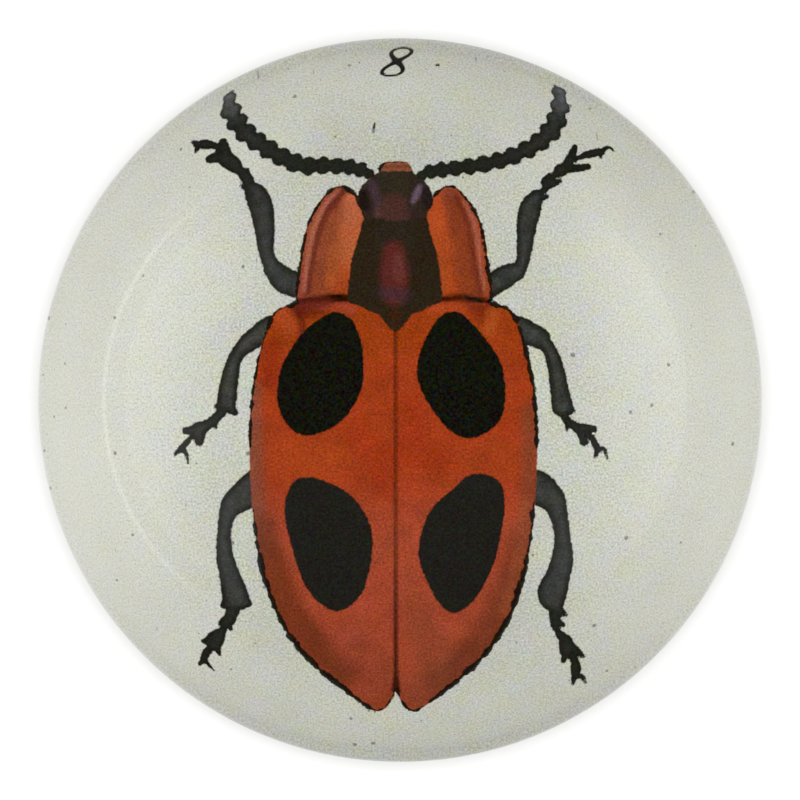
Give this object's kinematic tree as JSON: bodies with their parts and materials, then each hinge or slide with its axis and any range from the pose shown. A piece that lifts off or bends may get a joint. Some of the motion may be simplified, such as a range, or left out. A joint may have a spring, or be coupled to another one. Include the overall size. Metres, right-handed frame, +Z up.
{
  "type": "glass dome paperweight",
  "caption": "Solid clear glass dome paperweight with a flat felted base and a printed beetle picture glued under the glass.",
  "frame": {"origin": "middle of the felt's underside, where the paperweight stands", "axes": "+Z up through the middle of the dome, +Y towards the top of the picture, +X towards its right side"},
  "size_m": [0.089, 0.089, 0.0277],
  "materials": {
    "clear_glass": "polished clear crystal",
    "print_paper": "greyish rag paper with a hand-coloured beetle figure in red and black",
    "felt": "charcoal wool felt"
  },
  "bodies": {
    "root": {"glass_dome": "clear_glass", "beetle_print": "print_paper", "felt_base": "felt"}
  },
  "joints": []
}
